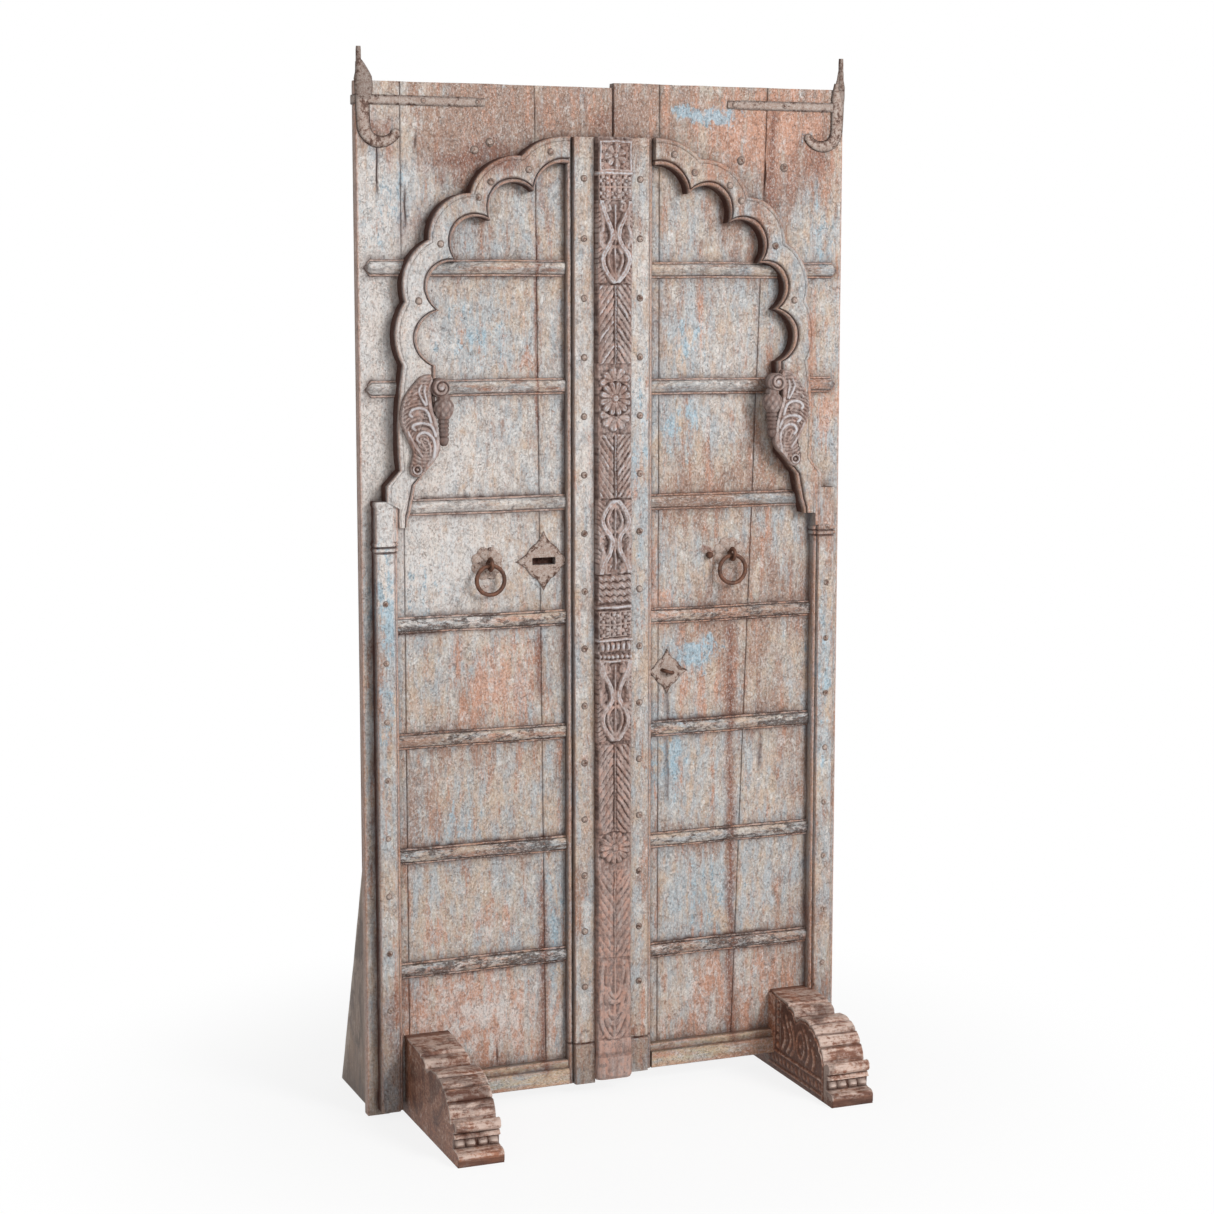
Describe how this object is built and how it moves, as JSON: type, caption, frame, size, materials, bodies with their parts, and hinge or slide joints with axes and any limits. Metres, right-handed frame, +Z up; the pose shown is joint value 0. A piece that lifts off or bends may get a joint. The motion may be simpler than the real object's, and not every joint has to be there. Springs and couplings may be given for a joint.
{
  "type": "carved double door",
  "caption": "Antique double-leaf wooden door with a cusped arch, carved centre post, nailed battens and iron ring pulls, standing free on carved feet as a screen.",
  "frame": {"origin": "on the floor, under the middle of the whole object", "axes": "+Z up, +X to the viewer's right, -Y towards the carved front"},
  "size_m": [1.012, 0.586, 2.051],
  "materials": {
    "painted_wood": "old layered paint, worn through to the wood, with brown patina",
    "carved_wood": "carved wood with traces of pale paint on its high places",
    "foot_wood": "worn brown wood",
    "plain_wood": "grey-brown planed wood",
    "iron": "wrought iron, rusty and painted over"
  },
  "bodies": {
    "door": {"centre_post": "carved_wood", "left_arch_bracket": "carved_wood", "left_arch_moulding": "painted_wood", "left_arch_nails": "iron", "left_batten_1": "painted_wood", "left_batten_2": "painted_wood", "left_batten_3": "painted_wood", "left_batten_4": "painted_wood", "left_batten_5": "painted_wood", "left_batten_6": "painted_wood", "left_batten_7": "painted_wood", "left_bottom_rail": "painted_wood", "left_column": "painted_wood", "left_column_nails": "iron", "left_foot": "foot_wood", "left_lock_plate": "iron", "left_meeting_plank": "painted_wood", "left_meeting_strip": "painted_wood", "left_pivot": "iron", "left_pivot_strap": "iron", "left_ring_rose": "iron", "left_ring_staple": "iron", "left_stile_plank": "painted_wood", "left_strip_nails": "iron", "left_strut": "plain_wood", "left_wide_plank": "painted_wood", "lower_tie": "plain_wood", "right_arch_bracket": "carved_wood", "right_arch_moulding": "painted_wood", "right_arch_nails": "iron", "right_batten_1": "painted_wood", "right_batten_2": "painted_wood", "right_batten_3": "painted_wood", "right_batten_4": "painted_wood", "right_batten_5": "painted_wood", "right_batten_6": "painted_wood", "right_batten_7": "painted_wood", "right_bottom_rail": "painted_wood", "right_column": "painted_wood", "right_column_nails": "iron", "right_foot": "foot_wood", "right_hasp_staple": "iron", "right_latch_pin": "iron", "right_lock_plate": "iron", "right_meeting_plank": "painted_wood", "right_meeting_strip": "painted_wood", "right_pivot": "iron", "right_pivot_strap": "iron", "right_ring_rose": "iron", "right_ring_staple": "iron", "right_stile_plank": "painted_wood", "right_strip_nails": "iron", "right_strut": "plain_wood", "right_wide_plank": "painted_wood", "spandrel_nails": "iron", "tie_nails": "iron", "upper_tie": "plain_wood"},
    "left_ring_body": {"left_ring": "iron"},
    "right_ring_body": {"right_ring": "iron"}
  },
  "joints": [
    {"name": "left_ring_swing", "type": "hinge", "parent": "door", "child": "left_ring_body", "pos_m": [-0.252, 0.0192, 1.0715], "axis": [-1, 0, 0], "range_deg": [-15, 190]},
    {"name": "right_ring_swing", "type": "hinge", "parent": "door", "child": "right_ring_body", "pos_m": [0.258, 0.0192, 1.0715], "axis": [-1, 0, 0], "range_deg": [-15, 190]}
  ]
}
